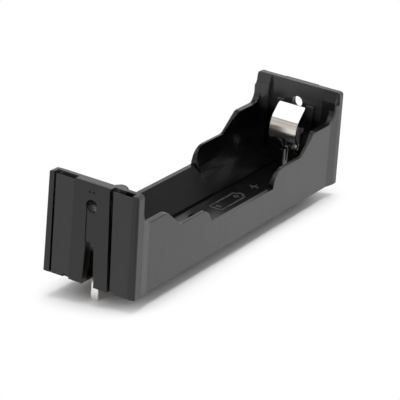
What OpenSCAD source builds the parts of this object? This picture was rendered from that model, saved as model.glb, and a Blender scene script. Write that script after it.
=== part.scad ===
// Open cell holder with two leaf contacts, for soldering to a circuit board.
// X runs along the cell, Y across it and Z up. The origin is the middle of the
// underside, on the plane that seats on the board, so the solder pins reach
// below zero. The end with the thick wall is at -X.

/* [Cell] */
// Diameter of the cell that the cradle takes
cell_d = 18.6; // [18:0.1:19.2]
// Length of the cell
cell_l = 65; // [60:0.5:70]
// Gap between the cell and the cradle all round
cell_gap = 0.1; // [0.05:0.05:0.3]

/* [Side walls] */
// Thickness of a side wall at the height of the cell's axis
side_wall = 0.68; // [0.5:0.02:1.2]
// Lean of the outer faces, for release from the mould, in degrees
draft = 1.2; // [0.5:0.1:2]
// Height of the side walls beside the end walls
shoulder_h = 14.5; // [13:0.1:16]
// Height of the side walls between shoulder and waist
step_h = 10.5; // [9.5:0.1:12]
// Height of the side walls along the waist
waist_h = 6.7; // [6:0.1:7.5]
// Length of the low waist in the middle
waist_l = 24; // [16:0.5:30]
// Length of the step between waist and ramp, on each side of the waist
step_l = 11.2; // [8:0.1:13]
// Length of the ramp from the step up to the shoulder
ramp_l = 4.9; // [4:0.1:7]
// Radius of the corner where the step ends at the waist
step_r = 3.5; // [1:0.1:3.6]
// Radius at both ends of a ramp
ramp_r = 2; // [0.5:0.1:3]
// Radius where a shoulder meets an end wall
heel_r = 2.5; // [0.5:0.1:3]

/* [Floor] */
// Thickness of the floor strip
floor_t = 1.2; // [0.9:0.05:1.6]
// Drop from the cell's lowest line to the floor strip
bed_drop = 0.25; // [0.1:0.05:0.5]
// Width of the floor strip
strip_w = 8.1; // [7:0.1:9]
// Thickness of the skin over the hollows in the underside
skin_t = 1; // [0.8:0.05:1.3]
// Thickness of the outer wall and of the webs beside the hollows
web_t = 1; // [0.8:0.05:1.3]
// Diameter of the shallow pit in the middle of the floor
pit_d = 4.4; // [3:0.1:5]
// Depth of the pit
pit_h = 0.4; // [0.2:0.05:0.5]
// Hollows in a row along each side
hollow_rows = 6; // [4:1:8]

/* [End walls] */
// Height of the end walls
end_h = 21; // [19:0.1:23]
// Thickness of the thick end wall
thick_end = 2.35; // [1.9:0.05:2.6]
// Thickness of the middle panel of the thin end wall
thin_end = 1.6; // [1:0.05:2]
// Overhang of the end walls past the side walls
end_lip = 0.35; // [0.2:0.05:0.6]
// How far the thin end wall's edges stand out past the side walls
thin_end_lip = 0.5; // [0.2:0.05:0.7]
// Length over which each side wall flares out to these edges
flare_l = 2.5; // [1:0.1:4]
// Radius of the upper corners of the thick end wall
crown_r = 0.8; // [0.4:0.1:1.5]
// Radius of the upper corners of the thin end wall
thin_crown_r = 0.7; // [0.4:0.1:1.5]
// Width of the raised block in the middle, at its top
block_w = 8.1; // [7:0.1:9]
// Width of the rib along each edge, at its top
rib_w = 1.3; // [1:0.1:2]
// Depth of the rib's face behind the block's
rib_drop = 0.15; // [0.05:0.05:0.3]
// Depth of the panel's face behind the rib's
panel_drop = 0.1; // [0.05:0.05:0.3]
// Depth of the upright grooves in the thick wall, one by a rib, one by the block
groove_d = 0.9; // [0.5:0.05:1]
// Depth of the same grooves in the thin wall
thin_groove_d = 0.4; // [0.2:0.05:0.45]
// Width of the groove by the block
block_groove_w = 0.5; // [0.3:0.05:1.2]
// Width of the groove by the rib
rib_groove_w = 0.4; // [0.3:0.05:1.2]
// Height at which the grooves start above the underside
groove_foot = 0.3; // [0.2:0.05:1]
// Width of the notches at the block's foot
foot_notch_w = 1.5; // [1:0.1:2]
// Height of the same notches
foot_notch_h = 0.6; // [0.4:0.1:2]
// Depth of the same notches behind the block's face
foot_notch_d = 0.75; // [0.4:0.05:1]
// Radius of the thick wall's upright outer edges
edge_r = 0.4; // [0.2:0.05:0.8]
// Thickness of the wall behind the groove along the top
lip_t = 0.9; // [0.8:0.05:1.1]
// Depth of the groove along the top
top_groove_h = 2.6; // [1.5:0.1:4]
// Projection of the corner strips inside the thin end wall
strip_out = 1.1; // [0.8:0.05:1.4]
// Distance between the corner strips
strip_gap = 13.4; // [12.5:0.1:14.5]
// Height over which the corner strips slope back at the top
lead_h = 2.2; // [1.5:0.1:5]
// Radius of the half-round guard rib inside the thick end wall
guard_r = 1.3; // [1:0.05:1.4]

/* [Holes] */
// Diameter of the round hole in each end wall
hole_d = 2.5; // [2:0.1:3]
// Height of the round hole
hole_z = 16.4; // [15.5:0.1:17.5]
// Diameter of the two vent dimples above the hole
dimple_d = 0.5; // [0.3:0.05:0.8]
// Depth of the dimples
dimple_h = 0.15; // [0.1:0.05:0.4]
// Distance between the dimples
dimple_pitch = 0.9; // [0.7:0.05:1.5]
// Height of the dimples
dimple_z = 19.3; // [18.5:0.1:19.8]
// Depth of the shallow channel below the hole
channel_d = 0.15; // [0.1:0.05:0.4]
// Width of the channel
channel_w = 2.3; // [2.2:0.05:2.6]
// Width of the pin slot at its top
slot_w = 1.9; // [1.8:0.05:2.2]
// Width of the pin slot at the underside
slot_foot_w = 2.7; // [2.4:0.05:3]
// Height of the pin slot
slot_h = 9; // [7:0.1:10]
// Depth of the pin slot into the floor, from the wall's outer face
slot_l = 3.9; // [3.3:0.1:5]

/* [Contacts] */
// Thickness of the contact strip
leaf_t = 0.4; // [0.3:0.02:0.5]
// Width of the leaf that presses on the cell
leaf_w = 6.6; // [5.5:0.1:7]
// Reach of the leaf's crest from the end wall
leaf_reach = 5.35; // [4.8:0.05:5.8]
// Travel that the cell takes out of each leaf
leaf_preload = 0.875; // [0.3:0.005:1]
// Thickness of the pad behind the left contact
seat_pad = 0.3; // [0.2:0.05:0.5]
// Height of the crest's lower bend
crest_low = 9.75; // [9:0.05:10.5]
// Height of the crest's upper bend
crest_high = 13.2; // [12.6:0.1:13.6]
// Radius of both bends of the crest
crest_r = 3; // [2:0.1:3.2]
// Height of the leaf's free end
leaf_top = 16.25; // [15.5:0.05:17]
// Distance of the free end from the wall
leaf_back = 1.9; // [1.2:0.1:3]
// Radius of the fold, to the middle of the strip
fold_r = 0.6; // [0.4:0.05:0.8]
// Height of the corner that the fold rounds off
fold_z = 4.6; // [4:0.1:5.5]
// Width of the strip at the fold
fold_w = 3.6; // [3.2:0.1:4.4]
// Height of the back plate's top edge
plate_top = 10.9; // [10:0.1:12]
// Height of the barbed ears on the back plate
ear_h = 1.5; // [1:0.1:2]
// Width of the back plate across its ears
plate_w = 5.4; // [4.5:0.1:5.6]
// Width of the solder pin
pin_w = 1.6; // [1.2:0.05:1.7]
// Length of the solder pin below the underside
pin_l = 4.1; // [2.5:0.1:5]
// Length of the taper at the pin's tip
pin_tip = 0.4; // [0.4:0.1:1.2]
// Height of the window's upper edge, in the leaf
window_top = 9.4; // [8:0.1:9.6]
// Shear gap between the pin and the window's sides
shear_gap = 0.05; // [0.02:0.01:0.1]
// Clearance between back plate and guide ribs
guide_gap = 0.05; // [0.02:0.01:0.2]

/* [Hidden] */

$fn = 96;
EPS = 0.01;
// Reach of a cutting shape past the face that it opens
OVER = 1;
// Steps in one rounded corner
ARC_STEPS = 8;

// Cradle
bore_r = cell_d / 2 + cell_gap;
axis_z = floor_t + bed_drop + bore_r;

// Overall length: both end walls, the cell and the two pressed bows
cell_room = cell_l + 2 * (leaf_reach - leaf_preload);
body_l = thick_end + seat_pad + cell_room + thin_end;
left_x = -body_l / 2;
right_x = body_l / 2;
left_face = left_x + thick_end;
right_face = right_x - thin_end;

// Outer half-width of the side walls at height z, and of the end walls
function side_y(z) = bore_r + side_wall + (axis_z - z) * tan(draft);
function end_y(z) = side_y(z) + end_lip;

// Flat sides of the waist touch the cradle's circle at 45 degrees
waist_drop = bore_r * sqrt(2) - axis_z;
function waist_z(y) = y - waist_drop;

// Top of the heel that runs up each end wall
heel_top = shoulder_h + 1.5 * heel_r;

// Underside hollows
strip_side = strip_w / 2 + skin_t;
hollow_from = left_x + thick_end + web_t;
hollow_to = right_x - thin_end - strip_out - web_t;
hollow_pitch = (hollow_to - hollow_from + web_t) / hollow_rows;

// Inner face of the pad that carries the left contact
seat_face = left_face + seat_pad;

// Guide ribs beside each back plate
guide_y = plate_w / 2 + guide_gap;
guide_w = 1.8;
guide_out = 0.8;
guide_top = 16.5;

// Middle of the guard rib, just clear of the leaf's edge
guard_y = leaf_w / 2 + guard_r + 0.1;

// The fold's centre, its lowest point, and the rests that it stands on
leg_rise = crest_low - fold_z;
leg_run = leaf_reach - leaf_t;
fold_half = (90 - atan2(leg_rise, leg_run)) / 2;
fold_cz = fold_z + fold_r / tan(fold_half);
fold_foot = fold_cz - fold_r - leaf_t / 2;
rest_out = fold_r * 2 + leaf_t;

// Place where the cradle's circle and its 45 degree flanks touch
touch_y = bore_r * sin(45);
touch_z = axis_z - bore_r * cos(45);

// One corner of a path, rounded with radius r: the arc's points
function corner(a, p, b, r) =
    let (ua = (a - p) / norm(a - p), ub = (b - p) / norm(b - p))
    let (half = acos(ua * ub) / 2)
    let (c = p + (ua + ub) / norm(ua + ub) * r / sin(half))
    let (from = p + ua * r / tan(half) - c, to = p + ub * r / tan(half) - c)
    let (a0 = atan2(from[1], from[0]), a1 = atan2(to[1], to[0]))
    let (turn = (a1 - a0 + 540) % 360 - 180)
    [for (i = [0:ARC_STEPS]) c + r * [cos(a0 + turn * i / ARC_STEPS), sin(a0 + turn * i / ARC_STEPS)]];

// A path through the points [x, y, radius], with round corners
function round_path(pts) = [
    for (i = [0:len(pts) - 1])
        let (p = [pts[i][0], pts[i][1]], r = pts[i][2])
        each (r == 0 ? [p] : corner([pts[i - 1][0], pts[i - 1][1]], p, [pts[i + 1][0], pts[i + 1][1]], r))
];

// Unit normal of a path at point i
function path_normal(path, i) =
    let (a = path[max(i - 1, 0)], b = path[min(i + 1, len(path) - 1)])
    let (d = (b - a) / norm(b - a))
    [-d[1], d[0]];

// Outline of a strip of thickness t along a path
function strip_outline(path, t) = concat(
    [for (i = [0:len(path) - 1]) path[i] + path_normal(path, i) * t / 2],
    [for (i = [len(path) - 1:-1:0]) path[i] - path_normal(path, i) * t / 2]
);

// Extrusion of a Y-Z outline along X, from x0 to x1
module along_x(x0, x1) {
    translate([x0, 0, 0]) rotate([90, 0, 90]) linear_extrude(x1 - x0) children();
}

// Extrusion of an X-Z outline along Y, from y0 to y1
module along_y(y0, y1) {
    translate([0, y1, 0]) rotate([90, 0, 0]) linear_extrude(y1 - y0) children();
}

// Top line of the side walls from the waist's middle to an end wall, to +X
function wall_top(face) = round_path([
    [0, waist_h, 0],
    [waist_l / 2, waist_h, 0],
    [waist_l / 2, step_h, step_r],
    [waist_l / 2 + step_l, step_h, ramp_r],
    [waist_l / 2 + step_l + ramp_l, shoulder_h, ramp_r],
    [face, shoulder_h, heel_r],
    [face, heel_top, 0]
]);

// Side wall from the waist's middle to an end wall's face, whose heel starts at root
module half_side(face, root) {
    polygon(concat(wall_top(root), [[face + EPS, heel_top], [face + EPS, 0], [0, 0]]));
}

// Everything below the scalloped wall line, from end wall to end wall
module below_wall_line() {
    along_y(-side_y(-OVER) - OVER, side_y(-OVER) + OVER) union() {
        half_side(right_face, right_face - strip_out);
        mirror([1, 0]) half_side(-left_face, -left_face);
    }
}

// Drafted block between the end walls, cut to the scalloped wall line
module side_block() {
    intersection() {
        below_wall_line();
        along_x(left_x, right_x) polygon([
            [-side_y(0), 0], [side_y(0), 0], [side_y(end_h), end_h], [-side_y(end_h), end_h]
        ]);
    }
}

// Outline of an end wall with crown radius r, standing out by lip
module end_outline(r, lip) {
    foot = side_y(0) + lip;
    top = side_y(end_h) + lip;
    polygon(concat(
        [[-foot, 0], [foot, 0]],
        corner([foot, 0], [top, end_h], [-top, end_h], r),
        corner([top, end_h], [-top, end_h], [-foot, 0], r)
    ));
}

// Wedges that carry both side walls out to an end wall's edges; wall at x = 0
module flares(lip) {
    root = side_wall / 2;
    for (side = [0, 1]) mirror([0, side, 0])
        translate([0, side_y(0), 0]) rotate([draft, 0, 0]) translate([0, 0, -OVER])
            linear_extrude(end_h + 2 * OVER)
                polygon([[-EPS, -root], [flare_l, -root], [flare_l, -EPS], [0, lip], [-EPS, lip]]);
}

// Corner strips of the thin end wall, with sloping lead-ins at the top
module corner_strips() {
    face = right_face - strip_out;
    intersection() {
        along_y(-end_y(0), end_y(0)) polygon([
            [right_face + EPS, 0], [face, 0], [face, end_h - lead_h], [right_face, end_h], [right_face + EPS, end_h]
        ]);
        difference() {
            along_x(face - OVER, right_x) polygon([
                [-side_y(0), 0], [side_y(0), 0], [side_y(end_h), end_h], [-side_y(end_h), end_h]
            ]);
            translate([face - 2 * OVER, -strip_gap / 2, -OVER])
                cube([strip_out + 3 * OVER, strip_gap, end_h + 2 * OVER]);
        }
    }
}

// Front outline of the pad that sets the left contact off its wall
module seat_outline() {
    translate([-guide_y - guide_w, floor_t - EPS])
        square([2 * (guide_y + guide_w), guide_top - floor_t + EPS]);
}

// Guide ribs on the inner face of an end wall; out points into the cell bay
module guides(face, out) {
    for (side = [-1, 1])
        translate([
            out > 0 ? face - EPS : face - guide_out,
            side > 0 ? guide_y : -guide_y - guide_w,
            floor_t - EPS
        ])
            cube([guide_out + EPS, guide_w, guide_top - floor_t]);
}

// Channel of the cradle: 45 degree flanks at the foot, round above them at both
// ends and flat-sided along the waist
module cradle() {
    translate([left_face, 0, axis_z]) rotate([0, 90, 0])
        cylinder(r = bore_r, h = right_face - left_face);
    foot = floor_t + waist_drop;
    along_x(left_face, right_face)
        polygon([[-foot, floor_t], [foot, floor_t], [touch_y, touch_z], [-touch_y, touch_z]]);
    along_x(-waist_l / 2, waist_l / 2) polygon([
        [-foot, floor_t],
        [foot, floor_t],
        [end_h + waist_drop, end_h],
        [-end_h - waist_drop, end_h]
    ]);
    translate([left_face, -strip_w / 2, floor_t])
        cube([right_face - left_face, strip_w, axis_z]);
    translate([0, 0, floor_t - pit_h]) cylinder(d = pit_d, h = axis_z);
}

// Space above the cradle's walls, between the end walls
module mouth() {
    low = sqrt(pow(bore_r, 2) - pow(shoulder_h - axis_z, 2));
    translate([left_face, -low, axis_z])
        cube([right_face - left_face, 2 * low, end_h]);
}

// Hollows in the underside, below the cradle's haunches
module hollows() {
    difference() {
        for (i = [0:hollow_rows - 1]) {
            x0 = hollow_from + i * hollow_pitch;
            for (side = [0, 1]) mirror([0, side, 0])
                along_x(x0, x0 + hollow_pitch - web_t) polygon([
                    [strip_side, -OVER],
                    [side_y(-OVER) - web_t, -OVER],
                    [side_y(waist_h) - web_t, waist_h],
                    [strip_side, waist_h]
                ]);
        }
        translate([left_x, 0, axis_z]) rotate([0, 90, 0])
            cylinder(r = bore_r + skin_t, h = body_l);
        rise = skin_t * sqrt(2);
        along_x(-waist_l / 2 - skin_t, waist_l / 2 + skin_t) polygon([
            [0, -waist_drop - rise],
            [end_h + waist_drop + rise, end_h],
            [-end_h - waist_drop - rise, end_h]
        ]);
    }
}

// Rounding of the upright edge at x = 0, on the side of +Y
module upright_round() {
    translate([0, end_y(0), 0]) rotate([draft, 0, 0]) difference() {
        translate([-OVER, -edge_r, -OVER]) cube([rib_drop + edge_r + OVER, edge_r + OVER, end_h + 3 * OVER]);
        translate([rib_drop + edge_r, -edge_r, -2 * OVER]) cylinder(r = edge_r, h = end_h + 5 * OVER);
    }
}

// Rests for the fold, on both sides of the pin slot; the wall's face is at x = 0
module fold_rests() {
    for (side = [0, 1]) mirror([0, side, 0])
        translate([-EPS, slot_foot_w / 2, floor_t - EPS])
            cube([rest_out + EPS, (fold_w - slot_foot_w) / 2 + 0.5, fold_foot - floor_t + EPS]);
}

// Pin slot with its taper, open at the underside; depth runs in from x = 0
module pin_slot(wall) {
    along_x(-OVER, wall + EPS) polygon([
        [-slot_foot_w / 2, -OVER], [slot_foot_w / 2, -OVER], [slot_w / 2, slot_h], [-slot_w / 2, slot_h]
    ]);
    translate([-OVER, -slot_foot_w / 2, -OVER]) cube([slot_l + OVER, slot_foot_w, floor_t + 2 * OVER]);
}

// Reliefs of one end wall's outer face, which lies at x = 0 with the bay at +X
module end_reliefs(wall, pad, groove, with_top_groove) {
    lean = tan(draft);
    block_top = block_w / 2;
    block_foot = block_top + end_h * lean;
    rib_top = end_y(end_h) - rib_w;
    rib_foot = end_y(0) - rib_w - end_h * lean / 2;
    flank = rib_drop + panel_drop;
    for (side = [0, 1]) mirror([0, side, 0]) {
        // Face of the rib, behind the block's
        along_x(-OVER, rib_drop) polygon([
            [block_foot, -OVER], [end_y(0) + OVER, -OVER], [end_y(0) + OVER, end_h + OVER], [block_top, end_h + OVER]
        ]);
        // Panel between block and rib
        along_x(-OVER, flank) polygon([
            [block_foot, -OVER], [rib_foot, -OVER], [rib_top, end_h + OVER], [block_top, end_h + OVER]
        ]);
        translate([-OVER, block_foot, -OVER]) cube([foot_notch_d + OVER, foot_notch_w, foot_notch_h + OVER]);
        // Groove along the top, between the panel's edge and the lip
        if (with_top_groove)
            along_y(block_top, rib_top) polygon([
                [-OVER, end_h + OVER], [wall - lip_t, end_h + OVER], [wall - lip_t, end_h],
                [wall - lip_t - flank, end_h - top_groove_h],
                [flank * 1.5, end_h - flank * 1.5], [-OVER, end_h - flank * 1.5]
            ]);
    }
    // Upright groove by the rib on one side, and by the block on the other
    along_x(-OVER, groove + rib_drop) polygon([
        [rib_foot - rib_groove_w, groove_foot], [rib_foot, groove_foot],
        [rib_top, end_h - flank * 1.5], [rib_top - rib_groove_w, end_h - flank * 1.5]
    ]);
    along_x(-OVER, groove + rib_drop) polygon([
        [-block_foot, groove_foot], [-block_foot - block_groove_w, groove_foot],
        [-block_top - block_groove_w, end_h - flank * 1.5], [-block_top, end_h - flank * 1.5]
    ]);
    // Vent dimples above the hole
    for (side = [-1, 1]) translate([-OVER, side * dimple_pitch / 2, dimple_z]) rotate([0, 90, 0])
        cylinder(d = dimple_d, h = dimple_h + OVER);
    if (with_top_groove) for (side = [0, 1]) mirror([0, side, 0]) upright_round();
    // Round hole, and the shallow channel from it down to the slot
    translate([-OVER, 0, hole_z]) rotate([0, 90, 0]) cylinder(d = hole_d, h = wall + 2 * OVER);
    translate([-OVER, -channel_w / 2, slot_h - EPS]) cube([channel_d + OVER, channel_w, hole_z - slot_h]);
    pin_slot(wall + pad);
}

module housing() {
    color("#262629") difference() {
        union() {
            difference() {
                side_block();
                cradle();
                mouth();
            }
            along_x(left_x, left_face) end_outline(crown_r, end_lip);
            along_x(right_face, right_x) end_outline(thin_crown_r, thin_end_lip);
            corner_strips();
            intersection() {
                below_wall_line();
                union() {
                    translate([left_face, 0, 0]) flares(end_lip);
                    translate([right_face, 0, 0]) mirror([1, 0, 0]) flares(thin_end_lip);
                }
            }
            along_x(left_face - EPS, seat_face) seat_outline();
            guides(seat_face, 1);
            guides(right_face, -1);
            translate([seat_face, 0, 0]) fold_rests();
            translate([right_face, 0, 0]) mirror([1, 0, 0]) fold_rests();
            translate([left_face, -guard_y, floor_t]) cylinder(r = guard_r, h = end_h - floor_t);
        }
        hollows();
        translate([left_x, 0, 0]) end_reliefs(thick_end, seat_pad, groove_d, true);
        translate([right_x, 0, 0]) mirror([1, 0, 0]) end_reliefs(thin_end, 0, thin_groove_d, false);
    }
}

// Middle line of the strip, from the back plate's top round the fold to the
// leaf's free end. x is the distance from the end wall, y the height.
function strip_path() = round_path([
    [leaf_t / 2, plate_top, 0],
    [leaf_t / 2, fold_z, fold_r],
    [leaf_reach - leaf_t / 2, crest_low, crest_r],
    [leaf_reach - leaf_t / 2, crest_high, crest_r],
    [leaf_back + leaf_t / 2, leaf_top, 0]
]);

// Front outlines, in Y and Z, that the strip is cut to
module leaf_outline() {
    widen = fold_cz + 2;
    polygon([
        [-fold_w / 2, fold_foot - OVER], [fold_w / 2, fold_foot - OVER],
        [fold_w / 2, fold_cz], [leaf_w / 2, widen],
        [leaf_w / 2, leaf_top - 0.3], [leaf_w / 2 - 0.5, leaf_top + OVER],
        [0.5 - leaf_w / 2, leaf_top + OVER], [-leaf_w / 2, leaf_top - 0.3],
        [-leaf_w / 2, widen], [-fold_w / 2, fold_cz]
    ]);
}

module plate_outline() {
    polygon([
        [-fold_w / 2, fold_foot - OVER], [fold_w / 2, fold_foot - OVER],
        [fold_w / 2, plate_top - ear_h], [plate_w / 2, plate_top - ear_h / 3],
        [plate_w / 2, plate_top + OVER], [-plate_w / 2, plate_top + OVER],
        [-plate_w / 2, plate_top - ear_h / 3], [-fold_w / 2, plate_top - ear_h]
    ]);
}

// One folded contact, with its wall at x = 0 and its crest towards +X. The
// tongue sheared out of the leaf's window stays straight and is the pin.
module contact() {
    window_w = pin_w + 2 * shear_gap;
    color("#c9c9c6") {
        difference() {
            intersection() {
                along_y(-leaf_w / 2, leaf_w / 2) polygon(strip_outline(strip_path(), leaf_t));
                union() {
                    along_x(-EPS, leaf_t + EPS) plate_outline();
                    along_x(leaf_t + EPS, leaf_reach + OVER) leaf_outline();
                }
            }
            translate([leaf_t + EPS, -window_w / 2, 0]) cube([leaf_reach, window_w, window_top]);
            translate([-OVER, -window_w / 2, 0]) cube([leaf_reach, window_w, fold_cz]);
        }
        along_x(0, leaf_t) polygon([
            [-pin_w / 2, fold_cz + EPS], [-pin_w / 2, -pin_l + pin_tip], [-pin_w / 4, -pin_l],
            [pin_w / 4, -pin_l], [pin_w / 2, -pin_l + pin_tip], [pin_w / 2, fold_cz + EPS]
        ]);
    }
}

module contact_left() {
    translate([seat_face, 0, 0]) contact();
}

module contact_right() {
    translate([right_face, 0, 0]) mirror([1, 0, 0]) contact();
}

housing();
contact_left();
contact_right();
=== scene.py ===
"""Dress the cylindrical cell holder: one black moulding and two bright folded contacts."""
from __future__ import annotations

import logging
import math
from dataclasses import dataclass, field
from enum import Enum
from typing import Any

import bmesh
import bpy
from mathutils import Matrix, Vector
from mathutils.bvhtree import BVHTree
from mathutils.geometry import intersect_point_line


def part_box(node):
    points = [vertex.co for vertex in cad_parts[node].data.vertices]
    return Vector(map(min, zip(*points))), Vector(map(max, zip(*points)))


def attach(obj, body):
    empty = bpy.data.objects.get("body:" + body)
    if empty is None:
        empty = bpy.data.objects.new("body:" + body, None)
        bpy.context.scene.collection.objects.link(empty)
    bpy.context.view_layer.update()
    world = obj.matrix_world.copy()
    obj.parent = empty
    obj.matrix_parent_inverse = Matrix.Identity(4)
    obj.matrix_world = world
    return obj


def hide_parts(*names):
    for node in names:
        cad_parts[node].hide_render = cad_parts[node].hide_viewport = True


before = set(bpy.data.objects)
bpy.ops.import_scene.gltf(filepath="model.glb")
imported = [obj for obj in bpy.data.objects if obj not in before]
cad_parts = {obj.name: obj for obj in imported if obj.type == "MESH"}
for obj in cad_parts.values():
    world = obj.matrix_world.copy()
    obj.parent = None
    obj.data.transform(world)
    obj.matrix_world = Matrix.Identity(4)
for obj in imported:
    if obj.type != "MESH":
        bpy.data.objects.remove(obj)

MM = 0.001
WELD_M = 1e-6
FLAT_DEG = 0.2
NOISE_MIDDLE = 0.5
log = logging.getLogger("cell_holder")

Point = tuple[float, float, float]
Span = tuple[float, float]

BLACK: Point = (0.0, 0.0, 0.0)
WHITE: Point = (1.0, 1.0, 1.0)


def direction(heading_deg: float, rise_deg: float) -> Point:
    """Return a direction of length 1.

    Args:
        heading_deg: its angle from +X towards +Y.
        rise_deg: its angle above the level.

    Returns:
        Its X, Y and Z.
    """
    heading, rise = math.radians(heading_deg), math.radians(rise_deg)
    return math.cos(heading) * math.cos(rise), math.sin(heading) * math.cos(rise), math.sin(rise)


# --------------------------------------------------------------------------- node trees


class Value:
    """An output socket that takes part in Python arithmetic on plain numbers."""

    def __init__(self, builder: NodeBuilder, socket: bpy.types.NodeSocket) -> None:
        """Wrap one output socket of a builder's tree."""
        self.builder = builder
        self.socket = socket

    def _math(self, operation: str, *terms: Value | float) -> Value:
        """Add a Math node.

        Args:
            operation: the Math node's operation.
            *terms: its inputs in order.

        Returns:
            The node's result.
        """
        return self.builder.node("ShaderNodeMath", {"operation": operation}, dict(enumerate(terms)))

    def __add__(self, other: Value | float) -> Value:
        """Return self + other."""
        return self._math("ADD", self, other)

    __radd__ = __add__

    def __sub__(self, other: Value | float) -> Value:
        """Return self - other."""
        return self._math("SUBTRACT", self, other)

    def __rsub__(self, other: Value | float) -> Value:
        """Return other - self."""
        return self._math("SUBTRACT", other, self)

    def __mul__(self, other: Value | float) -> Value:
        """Return self * other."""
        return self._math("MULTIPLY", self, other)

    __rmul__ = __mul__

    def size(self) -> Value:
        """Return the value without its sign."""
        return self._math("ABSOLUTE", self)

    def clamp(self) -> Value:
        """Return the value held between 0 and 1."""
        return self._math("MINIMUM", self._math("MAXIMUM", self, 0.0), 1.0)

    def step(self, low: float, high: float) -> Value:
        """Return a smooth step.

        Args:
            low: the value where the step starts.
            high: the value where it ends.

        Returns:
            0 below low, 1 above high, smooth between them.
        """
        return self.builder.node(
            "ShaderNodeMapRange",
            {"interpolation_type": "SMOOTHSTEP"},
            {"Value": self, "From Min": low, "From Max": high},
        )

    def step_mm(self, span: Span) -> Value:
        """Return a smooth step over a span in millimetres, for a value in metres."""
        return self.step(span[0] * MM, span[1] * MM)

    def between(self, low: float, high: float) -> Value:
        """Return the value stretched, so that 0 gives low and 1 gives high."""
        return self * (high - low) + low

    def swing(self, reach: float) -> Value:
        """Return how far a noise is from its middle, times a reach."""
        return (self - NOISE_MIDDLE) * reach


class NodeBuilder:
    """Adds nodes to one tree, of a material, of the world or of a shape."""

    def __init__(self, tree: bpy.types.NodeTree) -> None:
        """Take over a tree and empty it."""
        self.tree = tree
        self.tree.nodes.clear()

    def node(
        self,
        kind: str,
        settings: dict[str, Any] | None = None,
        inputs: dict[str | int, Any] | None = None,
        output: str | int = 0,
    ) -> Value:
        """Add a node.

        Args:
            kind: the node's type.
            settings: its properties, set before the sockets.
            inputs: socket name or index to a number, a colour, a data-block or a Value.
            output: name or index of the socket to return.

        Returns:
            The chosen output.
        """
        made = self.tree.nodes.new(kind)
        for key, value in (settings or {}).items():
            setattr(made, key, value)
        for key, value in (inputs or {}).items():
            if isinstance(value, Value):
                self.tree.links.new(value.socket, made.inputs[key])
            else:
                made.inputs[key].default_value = value
        return Value(self, made.outputs[output])

    def close(self, kind: str, socket: str, result: Value) -> None:
        """Add the tree's closing node.

        Args:
            kind: the node's type.
            socket: the name of its input.
            result: what goes into that input.
        """
        self.tree.links.new(result.socket, self.tree.nodes.new(kind).inputs[socket])


@dataclass(frozen=True)
class Noise:
    """Fractal noise with its own scale and stretch.

    Attributes:
        scale: cycles per metre.
        detail: octaves.
        roughness: weight of the finer octaves.
        squeeze: factor on the scale along each axis.
    """

    scale: float
    detail: float = 3.0
    roughness: float = 0.55
    squeeze: Point | None = None


class ShaderTree(NodeBuilder):
    """Adds what the finishes and the surround share."""

    def place(self) -> Value:
        """Return the point on the object, in metres."""
        return self.node("ShaderNodeTexCoord", output="Object")

    def towards(self) -> Value:
        """Return the direction that the world is seen in."""
        return self.node("ShaderNodeTexCoord", output="Generated")

    def axis(self, where: Value, name: str) -> Value:
        """Return one coordinate of a vector, by its name "X", "Y" or "Z"."""
        return self.node("ShaderNodeSeparateXYZ", None, {"Vector": where}, output=name)

    def ray(self, name: str) -> Value:
        """Return 1 for rays of one kind, by the Light Path node's name for it, and 0 for others."""
        return self.node("ShaderNodeLightPath", output=name)

    def noise(self, where: Value, noise: Noise) -> Value:
        """Return fractal noise.

        Args:
            where: the point that it is read at.
            noise: its scale and stretch.

        Returns:
            The noise, about 0 to 1.
        """
        if noise.squeeze:
            pair = {0: where, 1: noise.squeeze}
            where = self.node("ShaderNodeVectorMath", {"operation": "MULTIPLY"}, pair)
        return self.node(
            "ShaderNodeTexNoise",
            {"noise_dimensions": "3D"},
            {"Vector": where, "Scale": noise.scale, "Detail": noise.detail, "Roughness": noise.roughness},
        )

    def blend(self, factor: Value, low: Value | Point, high: Value | Point) -> Value:
        """Return a colour between two.

        Args:
            factor: 0 for low, 1 for high.
            low: the first colour.
            high: the second colour.

        Returns:
            The mixed colour.
        """
        first, second = (term if isinstance(term, Value) else (*term, 1.0) for term in (low, high))
        return self.node("ShaderNodeMix", {"data_type": "RGBA"}, {0: factor, 6: first, 7: second}, output=2)


class Surface(ShaderTree):
    """Builds one node material."""

    def __init__(self, name: str) -> None:
        """Start an empty material.

        Args:
            name: the material's name.
        """
        self.material = bpy.data.materials.new(name)
        self.material.use_nodes = True
        super().__init__(self.material.node_tree)

    def bump(self, height: Value, depth_mm: float, strength: float) -> Value:
        """Return a normal with fine relief.

        Args:
            height: the relief, 1 for its full depth.
            depth_mm: that depth.
            strength: how much of it shows.

        Returns:
            The normal.
        """
        relief = {"Strength": strength, "Distance": depth_mm * MM, "Height": height}
        return self.node("ShaderNodeBump", None, relief)

    def finish(self, sockets: dict[str, Any]) -> bpy.types.Material:
        """Close the material with a Principled shader.

        Args:
            sockets: its socket names with numbers, colours or Values.

        Returns:
            The material.
        """
        shader = self.node("ShaderNodeBsdfPrincipled", None, sockets)
        self.close("ShaderNodeOutputMaterial", "Surface", shader)
        return self.material


# --------------------------------------------------------------------------- finishes


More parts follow.
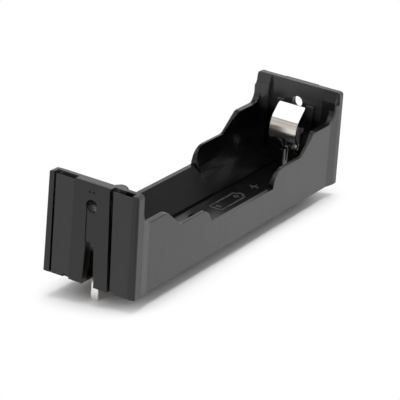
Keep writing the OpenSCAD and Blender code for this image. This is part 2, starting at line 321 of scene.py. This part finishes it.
@dataclass(frozen=True)
class MouldedPlastic:
    """Black glass-filled nylon: a polished core side, sparked outer faces and duller end panels, with
    painted sheen on the long sides and high on the end walls' inner faces.

    Attributes:
        outer_mm: distance across where the sparked side faces begin, at the underside.
        draft_deg: lean of those faces.
        block_mm: distance across where the end walls' middle block gives way to their panels.
        ribs_mm: distance across where those panels give way to the edge ribs.
        ends_mm: distance along where the end walls' outer faces begin.
        inner_mm: distance along where the end walls' inner faces begin.
        painted_sheen_y_mm: place across the inner face where the painted sheen begins.
        painted_sheen_z_mm: height where the painted sheen begins.
        cloudy: noise over which the plastic turns from dark to pale.
        panel_cover: how much of the panels' colour shows in dark and in pale clouds.
        side_sheen_cover: how much of the side faces' paler colour, part sparked tone and part painted
            sheen, shows there.
        drag_cover: what the drag lines add to that.
        painted_sheen_cover: how much of the painted sheen shows, faint and strong, across its patches.
        cloud_gloss: how far the clouds change the roughness.
        worn: noise over which the gloss is rubbed off.
        worn_gloss: what that adds to the roughness.
        grain_relief: share of the grain's height on polished and on sparked faces.
        ripple_relief: share of the flow lines' height.
        drag_relief: share of the drag lines' height.
    """

    name: str = "housing_moulded_black"
    dark: Point = (0.0018, 0.0018, 0.0021)
    pale: Point = (0.0042, 0.0041, 0.0044)
    panel: Point = (0.0135, 0.0132, 0.0150)
    # The sparked long sides' paler tone, raised further as painted sheen for the light falling on them
    side: Point = (0.0530, 0.0530, 0.0532)
    painted_sheen: Point = (0.0330, 0.0320, 0.0340)
    core_roughness: float = 0.23
    sparked_roughness: float = 0.38
    index: float = 1.50
    grain_depth_mm: float = 0.012
    grain_shown: float = 0.35
    outer_mm: Span = (10.2, 10.27)
    draft_deg: float = 1.2
    block_mm: Span = (4.3, 4.45)
    ribs_mm: Span = (8.9, 9.0)
    ends_mm: Span = (38.5, 38.6)
    inner_mm: Span = (36.1, 36.2)
    painted_sheen_y_mm: Span = (-6.6, -6.5)
    painted_sheen_z_mm: Span = (12.5, 15.0)
    cloudy: Span = (0.3, 0.75)
    panel_cover: Span = (0.7, 1.3)
    side_sheen_cover: Span = (0.45, 0.95)
    drag_cover: float = 0.6
    painted_sheen_cover: Span = (0.6, 1.4)
    cloud_gloss: float = 0.10
    worn: Span = (0.62, 0.8)
    worn_gloss: float = 0.06
    grain_relief: Span = (0.15, 0.5)
    ripple_relief: float = 0.5
    drag_relief: float = 0.4
    cloud: Noise = Noise(160.0, 4.0, squeeze=(0.5, 1.0, 1.0))
    grain: Noise = Noise(5200.0, 2.0, 0.6)
    ripple: Noise = Noise(420.0, 2.0, 0.4, (0.35, 1.0, 1.0))
    rubbed: Noise = Noise(900.0, 5.0, 0.7, (1.0, 1.0, 3.0))
    drag: Noise = Noise(900.0, 3.0, 0.6, (1.0, 1.0, 0.06))

    def make(self) -> bpy.types.Material:
        """Make the material: flow marks, drag lines, spark grain, duller panels, rubbed gloss, and painted
        sheen on the long sides and high on the end walls' inner faces.

        Returns:
            The material.
        """
        surface = Surface(self.name)
        where = surface.place()
        along, rise = surface.axis(where, "X").size(), surface.axis(where, "Z")
        sideways = surface.axis(where, "Y")
        across = sideways.size()

        # Which face of the moulding a point is on
        outer = (across + rise * math.tan(math.radians(self.draft_deg))).step_mm(self.outer_mm)
        ends = along.step_mm(self.ends_mm)
        panels = ends * across.step_mm(self.block_mm) * (1.0 - across.step_mm(self.ribs_mm))
        inside = along.step_mm(self.inner_mm) * (1.0 - ends) * (1.0 - outer)
        # Painted sheen: the upper part of the end walls' inner faces is painted paler, away from the -Y
        # strip, for the light reflected there
        painted_sheen_mask = inside * sideways.step_mm(self.painted_sheen_y_mm) * rise.step_mm(self.painted_sheen_z_mm)
        sparked = (outer + ends).clamp()

        # What the mould and handling left on it, and the patches of the painted sheen
        patterns = (self.cloud, self.grain, self.ripple, self.rubbed, self.drag)
        cloud, grain, ripple, rubbed, drag = (surface.noise(where, pattern) for pattern in patterns)

        # How much of each pattern shows in the colour, the gloss and the relief
        side_tone_and_sheen = cloud.between(*self.side_sheen_cover) + drag * self.drag_cover
        colour = surface.blend(cloud.step(*self.cloudy), self.dark, self.pale)
        colour = surface.blend(panels * cloud.between(*self.panel_cover), colour, self.panel)
        # The long sides: sparked paler tone, raised further as painted sheen, with drag lines
        colour = surface.blend(outer * (1.0 - ends) * side_tone_and_sheen, colour, self.side)
        # Paler colour painted high on the end walls' inner faces as sheen, broken up by the rubbed noise
        colour = surface.blend(painted_sheen_mask * rubbed.between(*self.painted_sheen_cover), colour, self.painted_sheen)
        gloss = sparked.between(self.core_roughness, self.sparked_roughness)
        gloss = gloss + cloud.swing(self.cloud_gloss) + rubbed.step(*self.worn) * self.worn_gloss
        height = grain * sparked.between(*self.grain_relief) + ripple * self.ripple_relief
        height = height + drag * sparked * self.drag_relief
        normal = surface.bump(height, self.grain_depth_mm, self.grain_shown)
        sockets = {"Base Color": colour, "Roughness": gloss, "Normal": normal, "IOR": self.index}
        return surface.finish(sockets)


@dataclass(frozen=True)
class MarkFinish:
    """The same nylon on the raised signs: matt, and paler from handling.

    Attributes:
        worn: noise over which the plastic turns from dark to pale.
        worn_gloss: how far the rubbing changes the roughness.
    """

    name: str = "marks_matt_nylon"
    dark: Point = (0.020, 0.020, 0.021)
    pale: Point = (0.085, 0.084, 0.082)
    roughness: float = 0.5
    grain_depth_mm: float = 0.01
    grain_shown: float = 0.4
    worn: Span = (0.35, 0.7)
    worn_gloss: float = 0.2
    rubbed: Noise = Noise(650.0, 4.0, 0.6)
    grain: Noise = Noise(5200.0, 2.0, 0.6)

    def make(self) -> bpy.types.Material:
        """Make the material: matt plastic that is rubbed pale in places.

        Returns:
            The material.
        """
        surface = Surface(self.name)
        where = surface.place()
        rubbed, grain = surface.noise(where, self.rubbed), surface.noise(where, self.grain)
        colour = surface.blend(rubbed.step(*self.worn), self.dark, self.pale)
        gloss = self.roughness + rubbed.swing(self.worn_gloss)
        normal = surface.bump(grain, self.grain_depth_mm, self.grain_shown)
        return surface.finish({"Base Color": colour, "Roughness": gloss, "Normal": normal})


@dataclass(frozen=True)
class PlatedSpring:
    """Bright plate over spring metal, with rolling lines along the strip and warm painted shade over its
    lower part.

    Attributes:
        painted_shade_below_mm: heights over which the painted shade over the fold fades out, up the leaf.
        painted_shade_above_mm: heights over which it sets in, above the pin's bright end.
        painted_shade_drift_mm: how far the stains move those heights.
        stained: noise over which the plate turns from bright to dull.
        lines_gloss: how far the rolling lines change the roughness.
        matt: noise over which the stains take the gloss off.
        matt_gloss: what that adds to the roughness.
    """

    name: str = "contact_bright_plate"
    bright: Point = (0.86, 0.85, 0.83)
    dull: Point = (0.74, 0.71, 0.66)
    # Warm dark colour painted on the lower strip as shade
    painted_shade: Point = (0.12, 0.10, 0.085)
    painted_shade_below_mm: Span = (5.6, 7.2)
    painted_shade_above_mm: Span = (-0.9, 0.2)
    painted_shade_drift_mm: float = 2.0
    roughness: float = 0.17
    line_depth_mm: float = 0.004
    lines_shown: float = 0.25
    stained: Span = (0.5, 0.8)
    lines_gloss: float = 0.12
    matt: Span = (0.55, 0.85)
    matt_gloss: float = 0.06
    lines: Noise = Noise(420.0, squeeze=(1.0, 22.0, 1.0))
    stain: Noise = Noise(330.0)

    def make(self) -> bpy.types.Material:
        """Make the material: plate with fine rolling lines and warm painted shade over its lower part.

        Returns:
            The material.
        """
        surface = Surface(self.name)
        where = surface.place()
        lines, stain = surface.noise(where, self.lines), surface.noise(where, self.stain)
        rise = surface.axis(where, "Z") + stain.swing(self.painted_shade_drift_mm * MM)
        # Painted shade: a warm dark band from the pin's root up over the fold, where the strip lies in
        # shadow
        fold = (1.0 - rise.step_mm(self.painted_shade_below_mm)) * rise.step_mm(self.painted_shade_above_mm)
        colour = surface.blend(stain.step(*self.stained), self.bright, self.dull)
        colour = surface.blend(fold, colour, self.painted_shade)
        gloss = self.roughness + lines.swing(self.lines_gloss) + stain.step(*self.matt) * self.matt_gloss
        normal = surface.bump(lines, self.line_depth_mm, self.lines_shown)
        return surface.finish({"Base Color": colour, "Metallic": 1.0, "Roughness": gloss, "Normal": normal})


@dataclass(frozen=True)
class PaleFloor:
    """White paper that takes a shadow near the holder and burns out to white away from it.

    Attributes:
        near_mm: distance from the holder's middle line where the burn-out begins.
        far_mm: distance where it is complete.
        half_length_mm: how far that middle line runs each way along X.
    """

    name: str = "stage_white_paper"
    white: float = 0.97
    near_mm: float = 6.0
    far_mm: float = 23.0
    half_length_mm: float = 25.5

    def make(self) -> bpy.types.Material:
        """Make the material: matt paper that turns to plain white away from the holder.

        Returns:
            The material.
        """
        surface = Surface(self.name)
        where = surface.place()
        past = (surface.axis(where, "X").size() - self.half_length_mm * MM).clamp()
        across = surface.axis(where, "Y").size()
        away = past * past + across * across
        burnt = away.step((self.near_mm * MM) ** 2, (self.far_mm * MM) ** 2)
        seen, mirrored = surface.ray("Is Camera Ray"), surface.ray("Is Glossy Ray")
        shown = (seen + mirrored + surface.ray("Is Transmission Ray")).clamp() * burnt
        return surface.finish(
            {
                "Base Color": surface.blend(shown, (self.white,) * 3, BLACK),
                "Roughness": 1.0,
                "Specular IOR Level": 0.0,
                "Emission Color": surface.blend(shown, BLACK, WHITE),
                "Emission Strength": 1.0,
            }
        )


# --------------------------------------------------------------------------- mesh helpers


def new_object(name: str, mesh: bpy.types.Mesh, material: bpy.types.Material) -> bpy.types.Object:
    """Link an object with one material.

    Args:
        name: the object's name.
        mesh: its mesh, already in place.
        material: what it is made of.

    Returns:
        The object.
    """
    made = bpy.data.objects.new(name, mesh)
    bpy.context.scene.collection.objects.link(made)
    mesh.materials.clear()
    mesh.materials.append(material)
    return made


def evaluated_mesh(target: bpy.types.Object) -> bpy.types.Mesh:
    """Return an object's mesh with its modifiers worked in, and take them off the object.

    Args:
        target: the object, whose own mesh stays as it is.

    Returns:
        The new mesh.
    """
    bpy.context.view_layer.update()
    evaluated = target.evaluated_get(bpy.context.evaluated_depsgraph_get())
    mesh = bpy.data.meshes.new_from_object(evaluated)
    target.modifiers.clear()
    return mesh


def merged_copy(node: str) -> bpy.types.Mesh:
    """Copy a CAD node's mesh with its triangles joined and its flats dissolved.

    Args:
        node: the CAD node's name.

    Returns:
        The welded copy.
    """
    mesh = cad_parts[node].data.copy()
    work = bmesh.new()
    work.from_mesh(mesh)
    bmesh.ops.remove_doubles(work, verts=work.verts, dist=WELD_M)
    bmesh.ops.dissolve_limit(
        work,
        angle_limit=math.radians(FLAT_DEG),
        verts=work.verts,
        edges=work.edges,
        use_dissolve_boundaries=False,
    )
    work.to_mesh(mesh)
    work.free()
    mesh.materials.clear()
    return mesh


def gap_to(point: Vector, start: Vector, end: Vector) -> float:
    """Return the distance from a point to a straight edge.

    Args:
        point: the point.
        start: one end of the edge.
        end: its other end.

    Returns:
        The distance to the nearest place on the edge.
    """
    near, share = intersect_point_line(point, start, end)
    near = start if share < 0.0 else end if share > 1.0 else near
    return (point - near).length


@dataclass
class EdgeRounding:
    """Small radius that a real edge has, left out where a corner is too crowded for it.

    Attributes:
        radius_mm: the radius.
        segments: flats in one rounded edge.
        from_angle_deg: how sharp an edge has to be.
        along_deg: how far an edge may turn and still carry on the last one.
        room_factor: free distance beside an edge that asks for the whole radius, in radii.
        least_share: share of that distance below which an edge stays sharp.
        stray_factor: distance from the solid that counts as a fault, in radii.
        reach_factor: distance from a fault at which edges go back to sharp, in radii.
        proud_mm: how far a point may stand out of the solid.
        least_area_m2: area below which a face isn't looked at.
        turned_over: cosine between a face and the solid below which it is inside out.
        tries: how many times the faults are mended.
    """

    radius_mm: float
    segments: int
    from_angle_deg: float = 30.0
    along_deg: float = 50.0
    room_factor: float = 1.7
    least_share: float = 0.2
    stray_factor: float = 1.6
    reach_factor: float = 2.5
    proud_mm: float = 0.003
    least_area_m2: float = 1e-10
    turned_over: float = -0.2
    tries: int = 5

    def apply(self, target: bpy.types.Object) -> None:
        """Round an object's sharp edges and shade it smooth.

        Args:
            target: the object.
        """
        source = bmesh.new()
        source.from_mesh(target.data)
        source.faces.ensure_lookup_table()
        tree = BVHTree.FromBMesh(source)
        weights = self._room(source)
        for attempt in range(self.tries):
            mesh = self._rounded(target, weights)
            spots = self._faults(mesh, tree)
            log.info("%s: try %d leaves %d faults", target.name, attempt + 1, len(spots))
            if not spots:
                break
            self._withdraw(source, weights, spots)
        target.data = mesh
        source.free()

    def _room(self, work: bmesh.types.BMesh) -> list[float]:
        """Return each edge's share of the full radius, by the room beside it."""
        return [self._edge_room(edge) if self._sharp(edge) else 0.0 for edge in work.edges]

    def _sharp(self, edge: bmesh.types.BMEdge) -> bool:
        """Tell whether an edge is sharp enough to be rounded."""
        return len(edge.link_faces) == 2 and edge.calc_face_angle() > math.radians(self.from_angle_deg)

    def _edge_room(self, edge: bmesh.types.BMEdge) -> float:
        """Return an edge's share of the radius.

        Args:
            edge: the sharp edge.

        Returns:
            0 for none, 1 for all of it.
        """
        start, end = (vert.co for vert in edge.verts)
        full = self.room_factor * self.radius_mm * MM
        free = full
        for loop in edge.link_loops:
            skipped = self._run(loop, True) | self._run(loop, False)
            for vert in loop.face.verts:
                if vert not in skipped:
                    free = min(free, gap_to(vert.co, start, end))
        return 0.0 if free < self.least_share * full else free / full

    def _run(self, loop: bmesh.types.BMLoop, forward: bool) -> set[bmesh.types.BMVert]:
        """Return the vertices of one face that carry an edge on round a gentle bend.

        Args:
            loop: the edge's corner in the face.
            forward: which way round the face to walk.

        Returns:
            The edge's own vertex on that side and those that follow it.
        """
        here = loop.link_loop_next if forward else loop
        heading = loop.edge.verts[0].co - loop.edge.verts[1].co
        found = {here.vert}
        for _ in range(len(loop.face.verts)):
            edge = here.edge if forward else here.link_loop_prev.edge
            line = edge.verts[0].co - edge.verts[1].co
            turn = heading.angle(line, 0.0)
            if not self._sharp(edge) or min(turn, math.pi - turn) > math.radians(self.along_deg):
                break
            here = here.link_loop_next if forward else here.link_loop_prev
            found.add(here.vert)
        return found

    def _rounded(self, target: bpy.types.Object, weights: list[float]) -> bpy.types.Mesh:
        """Round a copy of the target's mesh.

        Args:
            target: the object, whose own mesh stays sharp.
            weights: each edge's share of the radius.

        Returns:
            The rounded mesh.
        """
        name = "bevel_weight_edge"
        attributes = target.data.attributes
        shares = attributes.get(name) or attributes.new(name, "FLOAT", "EDGE")
        shares.data.foreach_set("value", weights)
        bevel = target.modifiers.new("rounding", "BEVEL")
        bevel.width = self.radius_mm * MM
        bevel.segments = self.segments
        bevel.limit_method = "WEIGHT"
        bevel.use_clamp_overlap = False
        bevel.loop_slide = False
        bevel.harden_normals = True
        return evaluated_mesh(target)

    def _faults(self, mesh: bpy.types.Mesh, tree: BVHTree) -> list[Vector]:
        """Find where a rounded mesh leaves the solid or turns a face over.

        Args:
            mesh: the rounded mesh.
            tree: the sharp solid's faces.

        Returns:
            The places.
        """
        stray, proud = self.stray_factor * self.radius_mm * MM, self.proud_mm * MM
        spots = []
        for vertex in mesh.vertices:
            place, normal, _, away = tree.find_nearest(vertex.co)
            if away > stray or (away > proud and (vertex.co - place).dot(normal) > proud):
                spots.append(vertex.co.copy())
        for face in mesh.polygons:
            if face.area > self.least_area_m2:
                _, normal, _, _ = tree.find_nearest(face.center)
                if normal.dot(face.normal) < self.turned_over:
                    spots.append(face.center.copy())
        return spots

    def _withdraw(self, work: bmesh.types.BMesh, weights: list[float], spots: list[Vector]) -> None:
        """Take the rounding off the edges next to each fault.

        Args:
            work: the sharp solid.
            weights: each edge's share of the radius, which is changed.
            spots: the faults.
        """
        reach = self.reach_factor * self.radius_mm * MM
        for edge in work.edges:
            if weights[edge.index] > 0.0:
                start, end = (vert.co for vert in edge.verts)
                if any(gap_to(spot, start, end) < reach for spot in spots):
                    weights[edge.index] = 0.0


# --------------------------------------------------------------------------- the holder


@dataclass
class Housing:
    """The black moulding."""

    plastic: MouldedPlastic = field(default_factory=MouldedPlastic)
    rounding: EdgeRounding = field(default_factory=lambda: EdgeRounding(0.18, 3))

    def build(self) -> bpy.types.Object:
        """Build the moulding with rounded edges in place of the plain solid.

        Returns:
            The piece.
        """
        piece = new_object("housing_shell", merged_copy("housing"), self.plastic.make())
        self.rounding.apply(piece)
        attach(piece, "root")
        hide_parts("housing")
        return piece


@dataclass
class Contact:
    """One folded contact strip with its pin, its sprung leaf leaning a little back at the top.

    Attributes:
        node: the strip's CAD node.
        metal: what it is made of.
        lean_mm: how far the leaf's foot goes into the bay, and its top towards the wall.
        plate_mm: depth of the back plate, which stays where it is.
        fold_mm: height of the fold, which stays too.
        crest_mm: heights of the leaf's foot and top.
    """

    node: str
    metal: bpy.types.Material
    lean_mm: float = 0.35
    plate_mm: float = 0.45
    fold_mm: float = 4.6
    crest_mm: Span = (8.5, 13.2)
    rounding: EdgeRounding = field(default_factory=lambda: EdgeRounding(0.05, 2))

    def build(self) -> bpy.types.Object:
        """Build the strip with rounded edges in place of the plain solid.

        Returns:
            The piece.
        """
        piece = new_object(f"{self.node}_strip", self._relaxed(merged_copy(self.node)), self.metal)
        self.rounding.apply(piece)
        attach(piece, "root")
        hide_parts(self.node)
        return piece

    def _relaxed(self, mesh: bpy.types.Mesh) -> bpy.types.Mesh:
        """Let the leaf's face lean: its foot goes into the bay and its top nears the wall.

        Args:
            mesh: the strip's mesh, whose back plate stays where it is.

        Returns:
            The same mesh.
        """
        low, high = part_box(self.node)
        inward = 1.0 if low.x < 0.0 else -1.0
        wall = low.x if inward > 0.0 else high.x
        for vertex in mesh.vertices:
            away, rise = (vertex.co.x - wall) * inward / MM, vertex.co.z / MM
            if away > self.plate_mm and rise > self.fold_mm:
                vertex.co.x += inward * MM * self._shift(rise)
        return mesh

    def _shift(self, rise: float) -> float:
        """Return how far the leaf moves into the bay at a height.

        Args:
            rise: the height in millimetres.

        Returns:
            The move in millimetres, below zero towards the wall.
        """
        foot, top = self.crest_mm
        if rise < foot:
            return self.lean_mm * (rise - self.fold_mm) / (foot - self.fold_mm)
        return self.lean_mm * (1.0 - 2.0 * min((rise - foot) / (top - foot), 1.0))


class Mark(Enum):
    """Plain signs that the floor strip carries, as strokes in millimetres about their middle."""

    PLUS = (((-1.1, 0.0), (1.1, 0.0)), ((0.0, -1.1), (0.0, 1.1)))
    MINUS = (((0.0, -1.1), (0.0, 1.1)),)
    CELL = (
        (
            (-5.2, -1.5), (4.4, -1.5), (4.4, -0.6), (5.2, -0.6), (5.2, 0.6),
            (4.4, 0.6), (4.4, 1.5), (-5.2, 1.5), (-5.2, -1.5),
        ),
        ((-3.8, -0.7), (-3.8, 0.7)),
        ((2.4, 0.0), (3.8, 0.0)),
        ((3.1, -0.7), (3.1, 0.7)),
    )


@dataclass
class StrokeTree:
    """Geometry Nodes tree that runs a low raised bar along each stroke of a wire mesh.

    Attributes:
        stroke_mm: width of a bar.
        relief_mm: how far it stands above its stroke.
        corner_mm: radius of its corners.
        corner_steps: points in one such corner.
    """

    stroke_mm: float = 0.34
    relief_mm: float = 0.12
    corner_mm: float = 0.30
    corner_steps: int = 4

    def build(self, material: bpy.types.Material) -> bpy.types.NodeTree:
        """Build the tree.

        Args:
            material: what the bars are made of.

        Returns:
            The tree, with its sizes as named inputs.
        """
        group = bpy.data.node_groups.new("raised_strokes", "GeometryNodeTree")
        group.interface.new_socket("Geometry", in_out="INPUT", socket_type="NodeSocketGeometry")
        for name in self._sizes():
            group.interface.new_socket(name, in_out="INPUT", socket_type="NodeSocketFloat")
        group.interface.new_socket("Geometry", in_out="OUTPUT", socket_type="NodeSocketGeometry")
        tree = NodeBuilder(group)
        names = ("Geometry", *self._sizes())
        mesh, stroke, relief, corner = (tree.node("NodeGroupInput", output=name) for name in names)
        wires = tree.node("GeometryNodeMeshToCurve", None, {"Mesh": mesh})
        bends = {"Curve": wires, "Radius": corner, "Limit Radius": True, "Count": self.corner_steps}
        bent = tree.node("GeometryNodeFilletCurve", {"mode": "POLY"}, bends)
        level = tree.node("GeometryNodeSetCurveNormal", {"mode": "Z_UP"}, {"Curve": bent})
        # The outline is centred on the stroke, so half of its height stands above
        outline = {"Width": stroke, "Height": relief * 2.0}
        bar = tree.node("GeometryNodeCurvePrimitiveQuadrilateral", {"mode": "RECTANGLE"}, outline)
        sweep = {"Curve": level, "Profile Curve": bar, "Fill Caps": True}
        solid = tree.node("GeometryNodeCurveToMesh", None, sweep)
        real = tree.node("GeometryNodeRealizeInstances", None, {"Geometry": solid})
        dressed = tree.node("GeometryNodeSetMaterial", None, {"Geometry": real, "Material": material})
        tree.close("NodeGroupOutput", "Geometry", dressed)
        return group

    def _sizes(self) -> dict[str, float]:
        """Return the tree's sizes by the names of its inputs, in millimetres."""
        return {"Stroke": self.stroke_mm, "Relief": self.relief_mm, "Corner": self.corner_mm}

    def run(self, target: bpy.types.Object, material: bpy.types.Material) -> None:
        """Turn a wire object into bars and make the result plain mesh.

        Args:
            target: the object whose edges are the strokes.
            material: what the bars are made of.
        """
        modifier = target.modifiers.new("strokes", "NODES")
        modifier.node_group = self.build(material)
        sizes = self._sizes()
        for item in modifier.node_group.interface.items_tree:
            if item.in_out == "INPUT" and item.name in sizes:
                modifier[item.identifier] = sizes[item.name] * MM
        target.data = evaluated_mesh(target)


@dataclass
class PolarityMarks:
    """Raised signs on the floor strip: a plain cell outline with its poles, and one sign at each end.

    Attributes:
        floor_mm: height of the strip's upper face.
        signs: each sign with its place along X, in millimetres.
        strokes: how the signs are raised.
        finish: what they are made of.
    """

    floor_mm: float = 1.2
    signs: tuple[tuple[Mark, float], ...] = ((Mark.CELL, 11.6), (Mark.PLUS, 22.0), (Mark.MINUS, -22.0))
    strokes: StrokeTree = field(default_factory=StrokeTree)
    finish: MarkFinish = field(default_factory=MarkFinish)

    def build(self) -> bpy.types.Object:
        """Build all the signs as one piece.

        Returns:
            The piece.
        """
        points: list[Point] = []
        edges: list[tuple[int, int]] = []
        for mark, middle in self.signs:
            for stroke in mark.value:
                closed = stroke[0] == stroke[-1]
                first = len(points)
                own = stroke[:-1] if closed else stroke
                points += [((middle + x) * MM, y * MM, self.floor_mm * MM) for x, y in own]
                edges += [(first + k, first + k + 1) for k in range(len(own) - 1)]
                if closed:
                    edges.append((len(points) - 1, first))
        mesh = bpy.data.meshes.new("polarity_marks")
        mesh.from_pydata(points, edges, [])
        material = self.finish.make()
        piece = new_object("polarity_marks", mesh, material)
        self.strokes.run(piece, material)
        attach(piece, "root")
        return piece


# --------------------------------------------------------------------------- stage


@dataclass(frozen=True)
class StudioCamera:
    """Long lens, looking along the holder from beyond its thick end.

    Attributes:
        heading_deg: the way it looks, from +X towards +Y.
        elevation_deg: how far it looks down.
        roll_deg: its turn about its own axis.
        place_mm: where it stands.
        focal_mm: its focal length.
        sensor_mm: width of its sensor.
        seen_m: the nearest and the farthest that it sees.
    """

    heading_deg: float = 30.87
    elevation_deg: float = 23.10
    roll_deg: float = -4.588
    place_mm: Point = (-313.06, -187.10, 160.73)
    focal_mm: float = 174.66
    sensor_mm: float = 36.0
    seen_m: Span = (0.01, 20.0)

    def build(self) -> bpy.types.Object:
        """Create the camera and make it the scene's.

        Returns:
            The camera object.
        """
        roll = math.radians(self.roll_deg)
        ahead = Vector(direction(self.heading_deg, -self.elevation_deg))
        level = ahead.cross(Vector((0.0, 0.0, 1.0))).normalized()
        down = ahead.cross(level)
        right = level * math.cos(roll) + down * math.sin(roll)
        up = level * math.sin(roll) - down * math.cos(roll)
        turn = Matrix((right, up, -ahead)).transposed().to_4x4()
        data = bpy.data.cameras.new("camera")
        data.lens = self.focal_mm
        data.sensor_width = self.sensor_mm
        data.clip_start, data.clip_end = self.seen_m
        camera = bpy.data.objects.new("camera", data)
        camera.matrix_world = Matrix.Translation(Vector(self.place_mm) * MM) @ turn
        bpy.context.scene.collection.objects.link(camera)
        bpy.context.scene.camera = camera
        return camera


@dataclass(frozen=True)
class SoftBox:
    """Round soft-edged light in the surround.

    Attributes:
        light: its radiance.
        aim_deg: the heading of its middle from +X towards +Y, and its rise above the level.
        edge_deg: its radius at the outer and the inner side of the soft edge.
    """

    light: float
    aim_deg: Span
    edge_deg: Span

    def within(self, sky: ShaderTree) -> Value:
        """Return where the box is: 1 inside it, 0 outside.

        Args:
            sky: the world's tree.

        Returns:
            The mask.
        """
        pair = {0: sky.towards(), 1: direction(*self.aim_deg)}
        facing = sky.node("ShaderNodeVectorMath", {"operation": "DOT_PRODUCT"}, pair, output="Value")
        return facing.step(*(math.cos(math.radians(edge)) for edge in self.edge_deg))


@dataclass(frozen=True)
class Surround:
    """Dim room with a white backdrop behind the holder, a warm skyline and soft boxes.

    Attributes:
        room: radiance of the walls.
        skyline: colour of the light low on the horizon.
        skyline_rise: sine of the height where the skyline fades out.
        skyline_box: the part of the horizon that it lights.
        backdrop: the backdrop as a light; the camera and mirrors see it white.
        boxes: the soft boxes, each over the ones before it.
    """

    room: float = 0.32
    skyline: Point = (0.66, 0.57, 0.50)
    skyline_rise: Span = (0.26, 0.38)
    skyline_box: SoftBox = SoftBox(1.0, (149.0, 0.0), (72.0, 45.0))
    backdrop: SoftBox = SoftBox(0.47, (31.0, 0.0), (54.0, 33.0))
    boxes: tuple[SoftBox, ...] = (
        SoftBox(1.3, (149.0, 53.0), (27.0, 21.0)),
        SoftBox(10.5, (0.0, 87.0), (18.0, 10.0)),
        SoftBox(1.2, (-95.0, 30.0), (32.0, 20.0)),
    )

    def build(self) -> bpy.types.World:
        """Build the world.

        Returns:
            The world, which the camera sees as plain white.
        """
        world = bpy.data.worlds.new("surround")
        world.use_nodes = True
        sky = ShaderTree(world.node_tree)
        low = 1.0 - sky.axis(sky.towards(), "Z").step(*self.skyline_rise)
        behind = self.backdrop.within(sky)
        light = sky.blend(low * self.skyline_box.within(sky), (self.room,) * 3, self.skyline)
        light = sky.blend(behind, light, (self.backdrop.light,) * 3)
        for box in self.boxes:
            light = sky.blend(box.within(sky), light, (box.light,) * 3)
        seen, mirrored = sky.ray("Is Camera Ray"), sky.ray("Is Glossy Ray")
        white = (seen + (mirrored + sky.ray("Is Transmission Ray")) * behind).clamp()
        lit = {"Color": sky.blend(white, light, WHITE), "Strength": 1.0}
        sky.close("ShaderNodeOutputWorld", "Surface", sky.node("ShaderNodeBackground", None, lit))
        return world


@dataclass(frozen=True)
class Studio:
    """White paper floor that leans away from the holder, and the surround.

    Attributes:
        floor_size_m: the floor's length and width.
        lean_deg: how far it leans down towards +Y.
        floor_drop_mm: how far it lies under the holder's seat, along the middle.
        paper: its finish.
        surround: the room around it.
    """

    floor_size_m: float = 6.0
    lean_deg: float = 8.0
    floor_drop_mm: float = 4.2
    paper: PaleFloor = field(default_factory=PaleFloor)
    surround: Surround = field(default_factory=Surround)

    def build(self) -> None:
        """Create the floor and the surround."""
        half = self.floor_size_m / 2
        lean = math.radians(self.lean_deg)
        drop = self.floor_drop_mm * MM
        corners = [
            (x * half, y * half * math.cos(lean), -drop - y * half * math.sin(lean))
            for x, y in ((-1, -1), (1, -1), (1, 1), (-1, 1))
        ]
        mesh = bpy.data.meshes.new("floor")
        mesh.from_pydata(corners, [], [(0, 1, 2, 3)])
        new_object("floor", mesh, self.paper.make())
        bpy.context.scene.world = self.surround.build()
        bpy.context.scene.view_settings.view_transform = "Standard"


def main() -> None:
    """Build the scene in order and report each piece."""
    logging.basicConfig(level=logging.INFO, format="%(name)s: %(message)s")
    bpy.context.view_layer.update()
    StudioCamera().build()
    pieces = [Housing().build()]
    metal = PlatedSpring().make()
    pieces += [Contact(node, metal).build() for node in ("contact_left", "contact_right")]
    pieces.append(PolarityMarks().build())
    Studio().build()
    for piece in pieces:
        log.info("%s: %d vertices", piece.name, len(piece.data.vertices))


if __name__ == "__main__":
    main()
